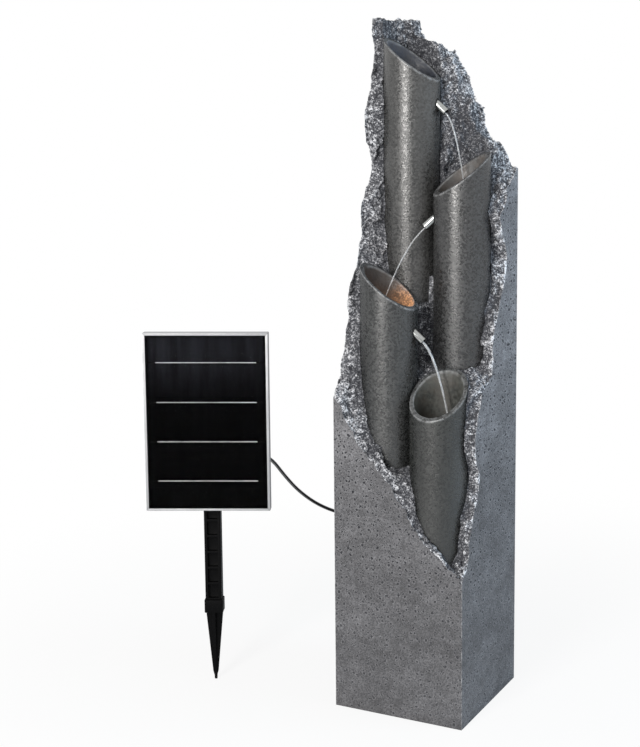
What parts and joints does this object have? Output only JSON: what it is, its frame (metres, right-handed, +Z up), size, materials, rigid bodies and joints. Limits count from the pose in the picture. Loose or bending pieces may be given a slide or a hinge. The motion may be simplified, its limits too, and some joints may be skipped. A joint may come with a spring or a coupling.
{
  "type": "garden fountain",
  "caption": "Square cast stone column broken open over stepped upright tubes that spill into each other, with a pump in its base and a tilting solar panel on a ground stake.",
  "frame": {"origin": "centre of the column's base, on the ground", "axes": "+Z up; the broken front faces -Y and +X; the rear door faces +Y"},
  "size_m": [0.4843, 0.3608, 1],
  "materials": {
    "cast_stone": "smooth cast face with small pits",
    "broken_rock": "rough broken rock, dry-brushed pale",
    "tube_stone": "fine-grained charcoal, satin",
    "base_plastic": "moulded black plate",
    "cup_floor_plastic": "dark moulded disc",
    "spout_steel": "bright brushed tube",
    "screw_steel": "zinc-plated",
    "black_rubber": "soft black rubber",
    "pump_plastic": "black moulded housing",
    "hose_plastic": "smooth grey flexible hose",
    "lamp_housing": "potted black disc",
    "lamp_lens": "warm clear dome",
    "cable_black": "glossy black sheath",
    "panel_frame": "anodised silver",
    "panel_glass": "clear toughened",
    "solar_cell": "black silicon",
    "cell_ribbon": "tinned ribbon",
    "backsheet": "pale laminate",
    "stake_plastic": "black moulded plastic",
    "impeller_plastic": "white moulded rotor",
    "shaft_ceramic": "polished ceramic",
    "filter_foam": "open black foam",
    "battery_sleeve": "shrink sleeve",
    "circuit_board": "green board",
    "button_rubber": "grey keypad rubber"
  },
  "bodies": {
    "root": {"column_shell": "cast_stone", "rock_core": "broken_rock", "base_plate": "base_plastic", "base_screws": "screw_steel", "cascade_tube_1": "tube_stone", "cascade_tube_2": "tube_stone", "cascade_tube_3": "tube_stone", "cascade_tube_4": "tube_stone", "cup_floors": "cup_floor_plastic", "spout_1": "spout_steel", "spout_2": "spout_steel", "spout_3": "spout_steel", "spout_grommets": "black_rubber", "inlet_fitting": "pump_plastic", "riser_hose": "hose_plastic", "drain_fitting": "pump_plastic", "drain_hose": "hose_plastic", "cup_lights": "lamp_housing", "light_lenses": "lamp_lens", "light_leads": "cable_black", "lead_junction_box": "pump_plastic", "inner_leads": "cable_black", "column_gland": "stake_plastic", "cable_clip": "stake_plastic", "clip_screw": "screw_steel", "reservoir_tub": "base_plastic", "pump_body": "pump_plastic", "impeller_cover": "pump_plastic", "impeller_shaft": "shaft_ceramic", "suction_feet": "black_rubber", "hinge_bolt": "screw_steel", "control_box": "stake_plastic", "control_box_cover": "stake_plastic", "cover_screws": "screw_steel", "battery_cells": "battery_sleeve", "control_board": "circuit_board", "solar_gland": "stake_plastic", "stake_pole": "stake_plastic", "ground_spike": "stake_plastic", "solar_cable_span": "cable_black", "solar_cable_coil": "cable_black", "solar_cable_tail": "cable_black"},
    "panel": {"panel_side_rails": "panel_frame", "panel_end_rails": "panel_frame", "panel_corner_keys": "screw_steel", "panel_glass": "panel_glass", "solar_cells": "solar_cell", "cell_ribbons": "cell_ribbon", "panel_backsheet": "backsheet", "panel_junction_box": "stake_plastic", "panel_bracket": "stake_plastic", "bracket_screws": "screw_steel"},
    "tilt_knob": {"tilt_knob": "stake_plastic"},
    "impeller": {"impeller": "impeller_plastic"},
    "intake": {"intake_cover": "pump_plastic", "filter_foam": "filter_foam"},
    "flow_dial": {"flow_dial": "pump_plastic"},
    "rear_door": {"rear_door": "cast_stone", "door_seal": "black_rubber"},
    "power_button": {"power_button": "button_rubber"}
  },
  "joints": [
    {"name": "panel_tilt", "type": "hinge", "parent": "root", "child": "panel", "pos_m": [-0.311, -0.0953, 0.408], "axis": [-0.907, -0.421, 0], "range_deg": [0, 80]},
    {"name": "knob_turn", "type": "hinge", "parent": "root", "child": "tilt_knob", "pos_m": [-0.311, -0.0953, 0.408], "axis": [0.907, 0.421, 0], "continuous": true},
    {"name": "impeller_spin", "type": "hinge", "parent": "root", "child": "impeller", "pos_m": [-0.045, 0.045, 0.0385], "axis": [1, 0, 0], "continuous": true},
    {"name": "intake_cover_slide", "type": "slide", "parent": "root", "child": "intake", "axis": [1, 0, 0], "range_m": [0, 0.025]},
    {"name": "flow_dial_turn", "type": "hinge", "parent": "intake", "child": "flow_dial", "pos_m": [-0.015, 0.045, 0.05], "axis": [1, 0, 0], "range_deg": [0, 120]},
    {"name": "rear_door_pull", "type": "slide", "parent": "root", "child": "rear_door", "axis": [0, 1, 0], "range_m": [0, 0.06]},
    {"name": "power_button_press", "type": "slide", "parent": "root", "child": "power_button", "axis": [0.421, -0.907, 0], "range_m": [0, 0.001], "stiffness_N_per_m": 400, "springref_m": -0.0005}
  ]
}
